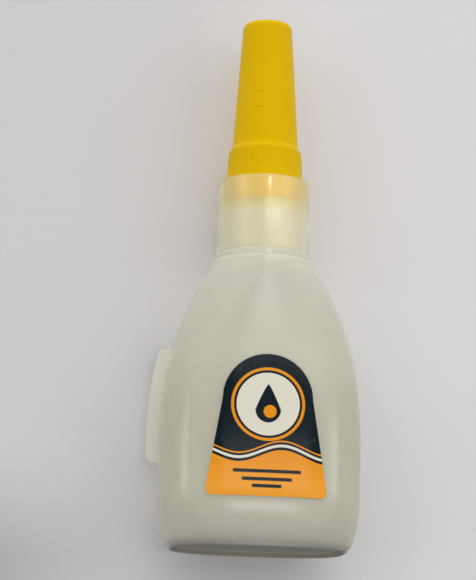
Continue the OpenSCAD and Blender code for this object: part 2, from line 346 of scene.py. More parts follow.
def milky_polyethylene():
    """Milky wall that light soaks into, with the mould's parting line and the pinch seam in the base. Its
    colour carries painted light and shade: lighter towards the shoulder, partly for a thicker wall, darker
    towards the foot, and darker on the underside.
    """
    thin_wall = (0.425, 0.41, 0.305, 1), (0.455, 0.44, 0.33, 1)
    thick_lit_wall, thick_lit_from, thick_lit_over = (0.59, 0.575, 0.46, 1), 25.0, 28.0
    painted_foot_shade, foot_shade_reach = (0.46, 0.43, 0.38, 1), 12
    shaded_base = (0.55, 0.55, 0.57, 1)
    parting_half, parting_height, parting_from = 0.12, 0.05, 8.0
    pinch_half, pinch_height, pinch_top = 0.2, 0.12, 1.4
    neck_gloss, neck_smoothness = 0.4, 0.9
    base_pass, wall_pass, pass_from, pass_over = 0.7, 0.26, 1.0, 6.0
    material, tree, shader = shader_tree("milky_polyethylene")
    height, roughness, cloud = skin(
        tree, grain=1500.0, grain_height=0.006, wave_height=0.05, gloss=0.24, spread=0.1
    )
    _, (x, y, z) = object_place(tree)
    parting = (1.2 - abs(y) / parting_half).share() * (abs(x) - parting_from).share()
    pinch = (1.2 - abs(y) / pinch_half).share() * (pinch_top - z).share()
    colour = blended(tree, *thin_wall, cloud)
    # Lighter towards the shoulder: partly a thicker wall, partly painted light from above.
    colour = blended(tree, colour, thick_lit_wall, ((z - thick_lit_from) / thick_lit_over).share())
    # Painted shade: the underside that faces down is greyer and darker.
    normal = add(tree, "ShaderNodeTexCoord").outputs["Normal"]
    facing_up = Number(add(tree, "ShaderNodeSeparateXYZ", {0: normal}).outputs[2])
    faces_down = (facing_up * -4.0 - 2.6).share()
    underside = faces_down * (2 - z).share()
    # Painted shade: the wall is darker towards the foot.
    colour = blended(tree, colour, painted_foot_shade, (1 - z / foot_shade_reach).share())
    colour = blended(tree, colour, shaded_base, underside * 0.9)
    plug(colour, shader.inputs["Base Color"])
    neck = (z - band_low).share()
    plug(roughness * (1 - neck * neck_gloss), shader.inputs["Roughness"])
    relief = height * (1 - neck * neck_smoothness) + parting * parting_height + pinch * pinch_height
    bumped(tree, shader, relief)
    pass_light(tree, shader, ((z - pass_from) / pass_over).share() * wall_pass + base_pass)
    shader.inputs["Subsurface Weight"].default_value = 0.7
    shader.inputs["Subsurface Radius"].default_value = (1.0, 1.0, 0.8)
    shader.inputs["Subsurface Scale"].default_value = 0.01
    shader.inputs["IOR"].default_value = 1.5
    return material


push_up_inset, cavity_floor, floor_inset, roof_height = 2.3, 2.0, 2.4, 49.5
# First height, last height and number of the rows up the sides and down the cavity.
lower_side, upper_side, cavity_side = (1.4, 16.5, 35), (17.2, 49.2, 46), (48.6, 3.2, 42)
# Inset and level, from the push-up down to the ring that the bottle stands on.
push_up_edge = (
    (2.05, 0.76), (1.85, 0.62), (1.7, 0.42), (1.58, 0.2), (1.47, 0.06), (1.35, 0), (1.2, 0), (1.02, 0),
)
# Height and inset of the rounded edges, outside at the base and inside at the floor.
base_edge = ((0.02, 0.77), (0.1, 0.52), (0.24, 0.32), (0.45, 0.16), (0.72, 0.06), (1.05, 0.01))
floor_edge = ((2.6, 1.1), (2.25, 1.35), (2.06, 1.8), (cavity_floor, floor_inset))
# Radius and level of the turned parts, then share and level of the cavity's roof.
boss_and_ring = [
    (9.5, 51.97), (9.42, 52.1), (9.28, 52.2), (9.1, 52.27), (8.9, 52.31), (8.76, 52.36), (8.68, 52.46),
    (8.66, 52.6), (8.66, 53.3), (8.64, 53.45), (8.57, 53.58), (8.46, 53.66), (8.3, 53.7),
]
neck_and_bead = [
    (6.25, 53.7), (6.05, 53.76), (6, 53.95), (6, 57.1), (6.08, 57.25), (6.32, 57.45), (6.4, 57.58),
    (6.4, 57.85), (6.33, 58.02), (6.05, 58.95), (6, 59.15), (6, 60.45), (5.94, 60.63), (5.78, 60.7),
]
neck_bore = [(4.6, 60.7), (4.46, 60.64), (4.4, 60.5), (4.4, 51.2), (4.5, 50.75)]
roof_curve = ((0.55, 50.3), (0.72, 50.05), (0.88, 49.75), (0.97, 49.35))

stations = [oval_row(0, push_up_inset, share, push_up) for share in (pole, 0.2, 0.4, 0.6, 0.8, 1)]
stations += [oval_row(0, inset, level=level) for inset, level in push_up_edge]
stations += [oval_row(height, inset) for height, inset in base_edge]
stations += [oval_row(height) for height in spaced(*lower_side) + spaced(*upper_side)]
stations += [oval_row(height, least=band_radius) for height in spaced(band_low, band_top, 22)]
stations += [round_row(*point) for point in boss_and_ring + neck_and_bead + neck_bore]
stations += [oval_row(roof_height, wall, share, level) for share, level in roof_curve]
stations += [oval_row(height, wall) for height in spaced(*cavity_side)]
stations += [oval_row(height, inset) for height, inset in floor_edge]
stations += [oval_row(cavity_floor, floor_inset, share) for share in (0.7, 0.4, pole)]

rule_channels = ("rule_height", "inset", "closing")
bottle = grown(
    "bottle_shell", blown_shell, point_line("bottle_stations", stations, rule_channels),
    {**body_sizes, "Sides": 160, "Material": milky_polyethylene()},
)
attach(bottle, "bottle")
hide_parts("bottle")


# ADHESIVE
# Clear, thin liquid adhesive that fills the bottle to about three quarters of its height.
# It lies against the bottle's inner wall, with a level top in the standing bottle.

fill_inset = wall + 0.15
fill_floor, fill_level = 2.16, 36.0


def clear_adhesive():
    """Clear liquid, very slightly yellow, with faint streaks."""
    yellowish, clear, streak_scale = (0.93, 0.94, 0.88, 1), (0.98, 0.98, 0.95, 1), 90.0
    material, tree, shader = shader_tree("clear_adhesive")
    vector, _ = object_place(tree)
    streaks = noise(tree, vector, streak_scale, 2.0, distortion=1.5)
    plug(blended(tree, yellowish, clear, streaks), shader.inputs["Base Color"])
    pass_light(tree, shader, 0.95)
    shader.inputs["Roughness"].default_value = 0.03
    shader.inputs["Transmission Weight"].default_value = 1.0
    shader.inputs["IOR"].default_value = 1.43
    return material


fill_edge = ((2.2, 2.0), (2.4, 1.55), (2.75, 1.28))
fill_rows = [oval_row(2.2, 2.6, share, fill_floor) for share in (pole, 0.4, 0.7, 1)]
fill_rows += [oval_row(height, inset) for height, inset in fill_edge]
fill_rows += [oval_row(height, fill_inset) for height in spaced(3.4, fill_level, 30)]
fill_rows += [oval_row(fill_level, fill_inset, share) for share in (0.97, 0.7, 0.4, pole)]
adhesive = grown(
    "adhesive_liquid", blown_shell, point_line("adhesive_stations", fill_rows, rule_channels),
    {**body_sizes, "Sides": 96, "Material": clear_adhesive()},
)
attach(adhesive, "bottle")
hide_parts("adhesive_fill")


# NOZZLE
# One natural polyethylene moulding: the collar that shows, a deck with a sealing plug, and the spout.
# It is pushed over the neck's bead for good, and its two-start thread takes the cap.
# A milky core and a clearer sleeve round it stand for its wall, so that the cap's skirt shows through.

thread_sizes = {
    "Thread Height": 0.6 * mm,
    "Thread Pitch": 2.5 * mm,
    "Thread Starts": 2.0,
    "Thread Root": 1.1 * mm,
    "Thread Crest": 0.6 * mm,
    "Thread Fade": 0.33 * mm,
}
spout_radius, tip_radius, outlet_radius, tip_height = 4.5, 1.6, 0.62, 89
collar_radius, sleeve_inside, collar_foot, rim_height = 8.4, 7.5, 53.72, 67.3
core_outside, core_foot = sleeve_inside - 0.02, collar_foot + 0.02
neck_hole, deck_top, deck_under = 6.1, 62.4, 60.9
plug_inside, plug_outside, plug_foot = 3.55, 4.35, 58.5
channel_radius, groove_radius, core_seam, sleeve_seam = 2.9, 6.5, 55, 60


def turned_moulding_tree():
    """Turns a profile about the axis, with thread ridges and grip ribs where the profile asks for them."""
    rib_narrowness = 6.0
    sizes = [*thread_sizes, "Thread Level", "Thread Bottom", "Thread Top", "Rib Count", "Rib Height"]
    sockets = {"Profile": "Geometry", "Sides": "Int", "Material": "Material"}
    sockets.update(dict.fromkeys(sizes, "Float"))
    tree, given, result = new_tree("GeometryNodeTree", "turned_moulding", sockets, {"Moulding": "Geometry"})
    line = given["Profile"]
    grid, row, turn = ring_grid(tree, line, given["Sides"])
    radius, level = read_place(tree, line, row)
    thread, rib = (read_channel(tree, line, row, name) for name in ("thread", "rib"))
    pitch = given["Thread Pitch"]
    half_root, half_crest = given["Thread Root"] / 2, given["Thread Crest"] / 2
    phase = (level - given["Thread Level"]) / pitch - turn * given["Thread Starts"]
    offset = (phase - phase.step("ROUND")) * pitch
    centre = level - offset
    fade = ((centre - given["Thread Bottom"]) / given["Thread Fade"]).share()
    fade = fade * ((given["Thread Top"] - centre) / given["Thread Fade"]).share()
    ridge = ((half_root - abs(offset)) / (half_root - half_crest)).share() * fade
    ribs = (turn * given["Rib Count"] * math.tau).step("COSINE").at_least(0.0) ** rib_narrowness
    reach = radius + thread * ridge * given["Thread Height"] + rib * ribs * given["Rib Height"]
    angle = turn * math.tau
    places = (reach * angle.step("COSINE"), reach * angle.step("SINE"), level)
    place = add(tree, "ShaderNodeCombineXYZ", enumerate(places))
    finish_tree(tree, result, grid, place.outputs[0], given["Material"])
    return tree


turned_moulding = turned_moulding_tree()
profile_channels = ("thread", "rib")


def rounded(corners):
    """Profile rows from corners (radius, height, rounding): each but the ends becomes a short curve."""
    most_of_side, curve_points = 0.45, 6
    rows = [(*corners[0][:2], 0.0, 0.0)]
    for before, corner, after in zip(corners, corners[1:], corners[2:]):
        tip = Vector(corner[:2])
        ways = [Vector(other[:2]) - tip for other in (before, after)]
        turn = ways[0].angle(ways[1])
        reach = min(corner[2] / math.tan(turn / 2), *(most_of_side * way.length for way in ways))
        ends = [tip + way.normalized() * reach for way in ways]
        for share in spaced(0, 1, curve_points):
            spot = ends[0] * (1 - share) ** 2 + tip * 2 * share * (1 - share) + ends[1] * share**2
            rows.append((spot.x, spot.y, 0.0, 0.0))
    return rows + [(*corners[-1][:2], 0.0, 0.0)]


def natural_polyethylene(name, clear, gloss, coat, depth, colours, rim):
    """Uncoloured and waxy, milky or nearly clear; the rim colour is a painted glow of the yellow cap in the
    collar's top.
    """
    material, tree, shader = shader_tree(name)
    glow_from, glow_over, spout_reach = 60.6, 2.2, 6.0
    height, roughness, cloud = skin(
        tree, grain=900.0, grain_height=0.002, wave_height=0.004, gloss=gloss, spread=0.1
    )
    _, (x, y, z) = object_place(tree)
    collar = ((x * x + y * y) ** 0.5 - spout_reach).share()
    # Painted glow: the yellow of the cap's light is painted into the collar's top.
    painted_glow = ((z - glow_from) / glow_over).share() * collar
    colour = blended(tree, blended(tree, *colours, cloud), rim, painted_glow)
    plug(colour, shader.inputs["Base Color"])
    plug(roughness, shader.inputs["Roughness"])
    bumped(tree, shader, height)
    pass_light(tree, shader, 0.85)
    shader.inputs["Transmission Weight"].default_value = clear
    shader.inputs["Subsurface Weight"].default_value = 1.0
    shader.inputs["Subsurface Radius"].default_value = (1.0, 0.95, 0.7)
    shader.inputs["Subsurface Scale"].default_value = depth
    shader.inputs["Coat Weight"].default_value = coat
    shader.inputs["Coat Roughness"].default_value = 0.09
    return material


deck = [
    (neck_hole, core_seam), (neck_hole, core_foot, 0.2), (core_outside, core_foot, 0.1),
    (core_outside, 63.2, 0.03), (7.04, 62.6, 0.1), (6.6, deck_top, 0.4),
    (spout_radius, deck_top, 0.3), (spout_radius, 63),
]
spout = [
    (spout_radius, 67.25), (spout_radius, 67.6, 0.8), (tip_radius, tip_height, 0.35),
    (outlet_radius, tip_height, 0.12), (outlet_radius, 81, 0.5), (channel_radius, deck_top, 0.6),
]
sealing_plug = [
    (channel_radius, deck_under, 0.2), (plug_inside, deck_under, 0.2), (plug_inside, plug_foot, 0.15),
    (plug_outside, plug_foot, 0.25), (plug_outside, deck_under, 0.1), (neck_hole, deck_under, 0.2),
]
bead_groove = [
    (neck_hole, 59.2, 0.2), (groove_radius, 58, 0.1), (groove_radius, 57.4, 0.1),
    (neck_hole, 57.1, 0.1), (neck_hole, core_seam),
]
thread_wall = [(spout_radius, height, 1.0, 0.0) for height in spaced(63.05, 67.2, 36)]
core_profile = rounded(deck) + thread_wall + rounded(spout + sealing_plug + bead_groove)
milky_colours = (0.54, 0.52, 0.41, 1), (0.58, 0.56, 0.45, 1)
milky_finish = natural_polyethylene(
    "natural_polyethylene", clear=0.0, gloss=0.6, coat=0.0, depth=0.01,
    colours=milky_colours, rim=(0.67, 0.49, 0.18, 1),
)
nozzle_core = grown(
    "nozzle_core", turned_moulding, point_line("nozzle_profile", core_profile, profile_channels),
    {
        **thread_sizes, "Thread Level": 63.35 * mm, "Thread Bottom": 63.35 * mm, "Thread Top": 66.9 * mm,
        "Rib Count": 0.0, "Rib Height": 0.0, "Sides": 144, "Material": milky_finish,
    },
)
sleeve = rounded([
    (sleeve_inside, sleeve_seam), (sleeve_inside, collar_foot, 0.1), (collar_radius, collar_foot, 0.3),
    (collar_radius, rim_height, 0.45), (sleeve_inside, rim_height, 0.2), (sleeve_inside, sleeve_seam),
])
thin_colours = (0.95, 0.90, 0.68, 1), (0.96, 0.92, 0.73, 1)
thin_finish = natural_polyethylene(
    "natural_polyethylene_thin", clear=0.95, gloss=0.42, coat=0.8, depth=0.04,
    colours=thin_colours, rim=(0.87, 0.845, 0.46, 1),
)
nozzle_sleeve = grown(
    "nozzle_sleeve", turned_moulding, point_line("sleeve_profile", sleeve, profile_channels),
    {**thread_sizes, "Rib Count": 0.0, "Rib Height": 0.0, "Sides": 144, "Material": thin_finish},
)
for piece in (nozzle_core, nozzle_sleeve):
    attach(piece, "bottle")
    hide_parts("nozzle")


# SEALING PIN
# A short length of drawn steel wire with a rounded tip, pressed into the cap's crown.
# It plugs the outlet while the cap is on, so that the adhesive can't set there.

pin_radius, pin_low, pin_top = 0.55, 83, 96.3


def drawn_steel():
    """Bright wire with fine drawing lines along it."""
    dark_steel, bright_steel = (0.46, 0.47, 0.49, 1), (0.62, 0.63, 0.65, 1)
    line_scale, line_depth = (9000.0, 9000.0, 250.0), 0.004
    material, tree, shader = shader_tree("pin_steel")
    vector, _ = object_place(tree)
    stretched = add(tree, "ShaderNodeMapping", {"Vector": vector, "Scale": line_scale}).outputs[0]
    lines = noise(tree, stretched, 1.0, 2.0)
    plug(blended(tree, dark_steel, bright_steel, lines), shader.inputs["Base Color"])
    plug(lines * 0.2 + 0.18, shader.inputs["Roughness"])
    bumped(tree, shader, lines * line_depth)
    shader.inputs["Metallic"].default_value = 1.0
    return material


pin_profile = rounded([
    (0, pin_low), (0.3, pin_low, 0.08), (pin_radius, 83.7, 0.5), (pin_radius, pin_top, 0.1), (0, pin_top),
])
pin = grown(
    "pin_wire", turned_moulding, point_line("pin_profile", pin_profile, profile_channels),
    {**thread_sizes, "Rib Count": 0.0, "Rib Height": 0.0, "Sides": 40, "Material": drawn_steel()},
)
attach(pin, "pin")
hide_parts("sealing_pin")


# CAP
# A tall yellow polypropylene moulding: a threaded skirt in the collar, a bell-shaped grip and a long cone.
# Fine ribs stand on the grip, and two short witness marks of the mould show on the cone.

skirt_radius, grip_radius, cone_radius, crown_radius = 6.9, 6.6, 6.0, 4.45
grip_top, cap_top, crown_rounding, crown_under = 74.3, 97.8, 1.2, 95.4
shoulder_height, rib_lead_in, rib_run_out = 1.5, 0.5, 1.2
skirt_foot, bore_radius = 63, 5.3
boss_radius, boss_foot, pin_hole, pin_hole_top = 1.78, 89.3, 0.58, 96.6


def yellow_polypropylene():
    """Strong yellow, evenly moulded and darker in the witness marks; painted light makes the crown's edge a
    little paler.
    """
    yellow = (0.685, 0.43, 0.0003, 1), (0.72, 0.455, 0.0005, 1)
    painted_crown_light, crown_light_from, crown_light_over = (0.72, 0.49, 0.01, 1), 96.4, 0.8
    mark_yellow, mark_depth = (0.45, 0.26, 0.002, 1), 0.04
    low_mark, high_mark, mark_half = 80.6, 83.5, 0.12
    mark_side, mark_half_length, mark_front = -2.0, 0.6, 3.0
    material, tree, shader = shader_tree("yellow_polypropylene")
    height, roughness, cloud = skin(
        tree, grain=1100.0, grain_height=0.006, wave_height=0.03, gloss=0.4, spread=0.12
    )
    _, (x, y, z) = object_place(tree)
    low_line, high_line = ((1.5 - abs(z - mark) / mark_half).share() for mark in (low_mark, high_mark))
    marks = (low_line + high_line) * (1.6 - abs(x - mark_side) / mark_half_length).share()
    marks = marks * (y * -1.0 - mark_front).share()
    colour = blended(tree, *yellow, cloud)
    # Painted light: the crown's edge is a little paler.
    colour = blended(tree, colour, painted_crown_light, ((z - crown_light_from) / crown_light_over).share() * 0.7)
    colour = blended(tree, colour, mark_yellow, marks * 0.35)
    plug(colour, shader.inputs["Base Color"])
    plug(roughness, shader.inputs["Roughness"])
    bumped(tree, shader, height - marks * mark_depth)
    pass_light(tree, shader, 0.9)
    shader.inputs["Specular IOR Level"].default_value = 0.03
    shader.inputs["Subsurface Weight"].default_value = 0.15
    shader.inputs["Subsurface Radius"].default_value = (1.0, 0.6, 0.05)
    shader.inputs["Subsurface Scale"].default_value = 0.001
    return material


crown = rounded([
    (0, cap_top), (crown_radius, cap_top, crown_rounding), (cone_radius - 0.02, grip_top + 0.1),
])
bell_foot = grip_top - shoulder_height
bell = []
for share in spaced(0, 1, 12):
    out = cone_radius + (grip_radius - cone_radius) * share**2 * (3 - 2 * share)
    bell.append((out, grip_top - shoulder_height * share, 0.0, 0.0))
grip = []
for height in spaced(bell_foot - 0.1, rim_height, 24):
    fall = (bell_foot - height) / (bell_foot - rim_height)
    rib = min(1, (height - rim_height) / rib_lead_in, (bell_foot - height) / rib_run_out)
    grip.append((grip_radius + (skirt_radius - grip_radius) * fall, height, 0.0, max(0, rib)))
skirt = rounded([
    (skirt_radius, 67.1), (skirt_radius, skirt_foot, 0.3),
    (bore_radius, skirt_foot, 0.2), (bore_radius, 63.4),
])
thread_bore = [(bore_radius, height, -1.0, 0.0) for height in spaced(63.45, 68.2, 40)]
inside = rounded([
    (bore_radius, 68.3), (bore_radius, 69.8, 0.8), (4.9, 75.8, 0.8), (3.35, crown_under, 0.5),
    (boss_radius, crown_under, 0.4), (boss_radius, boss_foot, 0.2), (pin_hole, boss_foot, 0.08),
    (pin_hole, pin_hole_top, 0.05), (0, pin_hole_top),
])
cap_profile = crown + bell + grip + skirt + thread_bore + inside
cap = grown(
    "cap_moulding", turned_moulding, point_line("cap_profile", cap_profile, profile_channels),
    {
        **thread_sizes, "Thread Level": 64.6 * mm, "Thread Bottom": 63.95 * mm, "Thread Top": 67.7 * mm,
        "Rib Count": 20.0, "Rib Height": 0.12 * mm, "Sides": 240, "Material": yellow_polypropylene(),
    },
)
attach(cap, "cap")
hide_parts("cap")


# FRONT LABEL
# Printed glossy film with an arched top, stuck to the flat front of the bottle.
# Its print is a plain design of navy, orange and cream: a ring with a drop, a wave and three bars.

label_low, label_side, label_arch, label_foot_half, label_corner = 8.3, 17.3, 8.0, 10.9, 1.4
film_thickness, film_gap = 0.12, 0.05


def wrapped_film_tree():
    """Lays a flat film on the front or back of the body; past the loose share it runs on straight."""
    sockets = {"Film": "Geometry", "Material": "Material"}
    sizes = [*body_sizes, "Side", "Gap", "Taper", "Loose From"]
    sockets.update(dict.fromkeys(sizes, "Float"))
    tree, given, result = new_tree("GeometryNodeTree", "wrapped_film", sockets, {"Film": "Geometry"})
    place = add(tree, "GeometryNodeInputPosition").outputs[0]
    flat_x, lift, height = (Number(part) for part in add(tree, "ShaderNodeSeparateXYZ", {0: place}).outputs)
    half_w, half_d, power = oval_at(tree, height, given)
    drawn_in = half_w / (given["Body Width"] / 2)
    x = flat_x * (given["Taper"] * drawn_in + (1 - given["Taper"]))
    loose = given["Loose From"] * half_w
    held = x.at_least(loose * -1.0)
    share = abs(held) / half_w
    depth = half_d * (1 - share**power) ** (1 / power)
    fall = half_d / half_w * (share * half_d / depth) ** (power - 1.0)
    y = given["Side"] * (depth - fall * (held - x) + given["Gap"] + lift)
    place = add(tree, "ShaderNodeCombineXYZ", enumerate((x, y, height)))
    finish_tree(tree, result, given["Film"], place.outputs[0], given["Material"])
    return tree


wrapped_film = wrapped_film_tree()


def flat_film(name, outline, columns, rows):
    """A flat closed film in the XZ plane, from its ends and its edges at each height, in millimetres."""
    low, high, edges = outline
    heights = [low + (high - low) * (1 - math.cos(math.pi * j / rows)) / 2 for j in range(rows + 1)]
    points, outer = [], []
    for lift in (film_thickness, 0.0):
        for height in heights:
            left, right = edges(height)
            points += [(x * mm, lift * mm, height * mm) for x in spaced(left, right, columns + 1)]
        outer += [float(lift > 0)] * (len(points) - len(outer))
    across, count = columns + 1, len(points) // 2
    faces = []
    for j in range(rows):
        for i in range(columns):
            a, b = j * across + i, (j + 1) * across + i
            faces += [(a, a + 1, b + 1, b), (count + a, count + b, count + b + 1, count + a + 1)]
    rim = list(range(columns)) + [j * across + columns for j in range(rows)]
    rim += [rows * across + i for i in range(columns, 0, -1)] + [j * across for j in range(rows, 0, -1)]
    for a, b in zip(rim, rim[1:] + rim[:1]):
        faces.append((a, count + a, count + b, b))
    mesh = bpy.data.meshes.new(name)
    mesh.from_pydata(points, [], faces)
    mesh.attributes.new("outer_face", "FLOAT", "POINT").data.foreach_set("value", outer)
    return mesh


def front_edges(height):
    """Left and right edge of the front label: rounded foot, slanting sides and a round arch."""
    least_half = 0.05
    up = height - label_low
    half = label_foot_half + (label_arch - label_foot_half) * min(1, up / label_side)
    over = up - label_side
    if over > 0:
        half = math.sqrt(max(0.0, label_arch**2 - over**2))
    under = max(0.0, label_corner - up)
    half -= label_corner - math.sqrt(label_corner**2 - under**2)
    return -max(half, least_half), max(half, least_half)


def film_wear_group():
    """Handling of a film: small rubbed spots, and fine ripples from the wall below."""
    spot_scale, spot_least, spot_edge, ripple_scale = 900.0, 0.64, 8.0, 220.0
    outputs = {"Rubbed": "Float", "Ripple": "Float"}
    tree, given, result = new_tree("ShaderNodeTree", "film_wear", {"Rubbing": "Float"}, outputs)
    vector, _ = object_place(tree)
    spots = noise(tree, vector, spot_scale, 5.0, 0.7)
    plug(((spots - spot_least) * spot_edge).share() * given["Rubbing"], result["Rubbed"])
    plug(noise(tree, vector, ripple_scale, 2.0), result["Ripple"])
    return tree


film_wear = film_wear_group()


def wear(tree, rubbing):
    """Places the film's wear in a material, and gives its rubbed share and its ripple."""
    node = add(tree, "ShaderNodeGroup", {"Rubbing": rubbing}, node_tree=film_wear)
    return Number(node.outputs["Rubbed"]), Number(node.outputs["Ripple"])


def inside_of(distance):
    """Share of ink inside an edge that lies where the distance is zero, in millimetres."""
    edge_blur = 0.08
    return (0.5 - distance / edge_blur).share()


def bar(x, z, centre, half_length, half_height):
    """Share of ink of a bar across the middle of a label."""
    return inside_of((abs(x) - half_length).at_least(abs(z - centre) - half_height))


def printed_film():
    """Navy, orange and cream ink under gloss film; the orange pales towards the foot in a painted sheen."""
    navy, orange, cream = (0.0005, 0.008, 0.013, 1), (0.80, 0.285, 0.004, 1), (0.74, 0.71, 0.60, 1)
    sheen_orange, sheen_from, sheen_over = (0.88, 0.355, 0.035, 1), 16, 6
    worn_ink, gummed_side = (0.55, 0.52, 0.47, 1), (0.62, 0.62, 0.56, 1)
    wave_level, wave_swing, wave_rate, wave_start = 15.4, 1.1, 0.4, 0.5
    wave_lines = (cream, 0.75, 0.24), (orange, 1.55, 0.14)
    ring_centre, ring_radius, ring_half, disc_radius = 24.6, 6.3, 0.26, 5.6
    drop_centre, drop_radius, drop_height, drop_shrink = 23.6, 2.3, 4.6, 0.04
    spot_x, spot_z, spot_radius = 0.35, 23.3, 1.15
    bars, bar_half = ((12.7, 6.0), (11.3, 4.4), (10.1, 2.6)), 0.3
    film_gloss, ripple_gloss, worn_gloss, ripple_height = 0.11, 0.04, 0.3, 0.006
    material, tree, shader = shader_tree("printed_film")
    _, (x, _, z) = object_place(tree)
    outer = Number(add(tree, "ShaderNodeAttribute", attribute_name="outer_face").outputs["Fac"])
    rubbed, ripple = wear(tree, 0.35)
    wave = (x * wave_rate + wave_start).step("SINE") * wave_swing + wave_level
    # Painted sheen: the orange field pales towards the foot.
    field = blended(tree, orange, sheen_orange, ((sheen_from - z) / sheen_over).share())
    colour = blended(tree, navy, field, inside_of(z - wave))
    for ink, rise, half in wave_lines:
        colour = blended(tree, colour, ink, inside_of(abs(z - wave - rise) - half))
    distance = ((x * x) + (z - ring_centre) ** 2.0) ** 0.5
    colour = blended(tree, colour, orange, inside_of(abs(distance - ring_radius) - ring_half))
    colour = blended(tree, colour, cream, inside_of(distance - disc_radius))
    up = z - drop_centre
    round_foot = (1 - (up / drop_radius).at_most(0.0) ** 2.0).at_least(0.0) ** 0.5
    drop_half = drop_radius * round_foot * (1 - (up / drop_height).share()) ** 0.8
    colour = blended(tree, colour, navy, inside_of(abs(x) - drop_half + drop_shrink))
    distance = ((x - spot_x) ** 2.0 + (z - spot_z) ** 2.0) ** 0.5
    colour = blended(tree, colour, orange, inside_of(distance - spot_radius))
    for centre, half_length in bars:
        colour = blended(tree, colour, navy, bar(x, z, centre, half_length, bar_half))
    colour = blended(tree, colour, worn_ink, rubbed)
    colour = blended(tree, gummed_side, colour, outer)
    plug(colour, shader.inputs["Base Color"])
    plug(ripple * ripple_gloss + rubbed * worn_gloss + film_gloss, shader.inputs["Roughness"])
    bumped(tree, shader, ripple * ripple_height)
    shader.inputs["Specular IOR Level"].default_value = 0.12
    return material


front_outline = (label_low, label_low + label_side + label_arch, front_edges)
front_label = grown(
    "front_label_film", wrapped_film, flat_film("front_film", front_outline, 48, 96),
    {
        **body_sizes, "Side": -1.0, "Gap": film_gap * mm, "Taper": 0.0, "Loose From": 1.0,
        "Material": printed_film(),
    },
)
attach(front_label, "bottle")
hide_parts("front_label")


# BACK LABEL
# A paler film on the back of the bottle, with a navy head band and plain grey bars.
# One long edge has come unstuck and stands out past the bottle's side as a pale strip.

back_low, back_high, back_corner = 16.5, 37.5, 1.5
back_fixed, back_loose = 15.0, 19.7


def back_edges(height):
    """Loose and fixed edge of the back label, with rounded corners."""
    under = max(0.0, back_corner - min(height - back_low, back_high - height))
    cut = back_corner - math.sqrt(back_corner**2 - under**2)
    return cut - back_loose, back_fixed - cut


def pale_film():
    """White, navy, orange and grey ink on the outside, bare gummed film on the inside."""
    white, grey = (0.70, 0.70, 0.66, 1), (0.33, 0.34, 0.35, 1)
    navy, orange = (0.012, 0.022, 0.034, 1), (0.74, 0.25, 0.004, 1)
    worn_ink, gummed_side = (0.60, 0.59, 0.55, 1), (0.79, 0.79, 0.72, 1)
    head_band, head_line, head_line_half = 33.4, 32.7, 0.35
    bars = (30.2, 11.0), (28.2, 11.0), (26.2, 10.4), (24.2, 11.0), (22.2, 9.6), (20.2, 6.5)
    bar_half = 0.36
    film_gloss, ripple_gloss, worn_gloss, ripple_height = 0.28, 0.12, 0.25, 0.05
    material, tree, shader = shader_tree("pale_film")
    _, (x, _, z) = object_place(tree)
    outer = Number(add(tree, "ShaderNodeAttribute", attribute_name="outer_face").outputs["Fac"])
    rubbed, ripple = wear(tree, 0.25)
    colour = blended(tree, white, navy, inside_of(head_band - z))
    colour = blended(tree, colour, orange, inside_of(abs(z - head_line) - head_line_half))
    for centre, half_length in bars:
        colour = blended(tree, colour, grey, bar(x, z, centre, half_length, bar_half))
    colour = blended(tree, colour, worn_ink, rubbed)
    colour = blended(tree, gummed_side, colour, outer)
    plug(colour, shader.inputs["Base Color"])
    plug(ripple * ripple_gloss + rubbed * worn_gloss + film_gloss, shader.inputs["Roughness"])
    bumped(tree, shader, ripple * ripple_height)
    pass_light(tree, shader, 0.8)
    return material


back_label = grown(
    "back_label_film", wrapped_film, flat_film("back_film", (back_low, back_high, back_edges), 72, 60),
    {
        **body_sizes, "Side": 1.0, "Gap": film_gap * mm, "Taper": 0.8, "Loose From": 0.62,
        "Material": pale_film(),
    },
)
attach(back_label, "bottle")
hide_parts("back_label")


# STAGE
# A pale floor under the standing bottle, and a pale board behind it in place of the table that it lay on.
# Each shows from one side only and takes the shadow, so that no view is blocked and the light stays even.
# The board also has painted shade in its paper, darker to the left and low on the left.


def stage_paper(name, colour, covered):
    """Matt paper seen on its front side only; it stops light where the base covers it."""
    material, tree, shader = shader_tree(name)
    _, (x, y, _) = object_place(tree)
    path = add(tree, "ShaderNodeLightPath").outputs
    rays = [Number(path[ray]) for ray in ("Is Camera Ray", "Is Glossy Ray", "Is Transmission Ray")]
    front = 1 - Number(add(tree, "ShaderNodeNewGeometry").outputs["Backfacing"])
    under = ((x / covered[0]) ** 2.0 + (y / covered[1]) ** 2.0).step("LESS_THAN", 1.0)
    seen = (rays[0] + rays[1] + rays[2] + under).share() * front
    shader.inputs["Base Color"].default_value = colour
    shader.inputs["Roughness"].default_value = 1.0
    shader.inputs["Specular IOR Level"].default_value = 0.0
    mix = add(tree, "ShaderNodeMixShader", {0: seen, 2: shader.outputs[0]})
    plug(add(tree, "ShaderNodeBsdfTransparent").outputs[0], mix.inputs[1])
    plug(mix.outputs[0], tree.nodes["Material Output"].inputs["Surface"])
    return material


def shade_painted_paper(name, colour, half_width, top):
    """Stage paper with painted shade: it dims softly to the left, and more in its lower left, as the table
    did.
    """
    left_dim, corner_dim, low_power = 0.09, 0.42, 1.5
    corner_from, corner_over, corner_most = -20, -40, 0.7
    not_covered = (0.1, 0.1)
    material = stage_paper(name, colour, not_covered)
    tree = material.node_tree
    _, (x, _, z) = object_place(tree)
    left = ((half_width - x) / (2 * half_width)).share()
    low = (1 - z / top).share() ** low_power
    far = ((x - corner_from) / corner_over).share().at_most(corner_most)
    # Painted shade on the board: darker to the left, and more so low on the left.
    light = 1 - left * left_dim - low * far * corner_dim
    plug(blended(tree, (0, 0, 0, 1), colour, light), tree.nodes["Principled BSDF"].inputs["Base Color"])
    return material


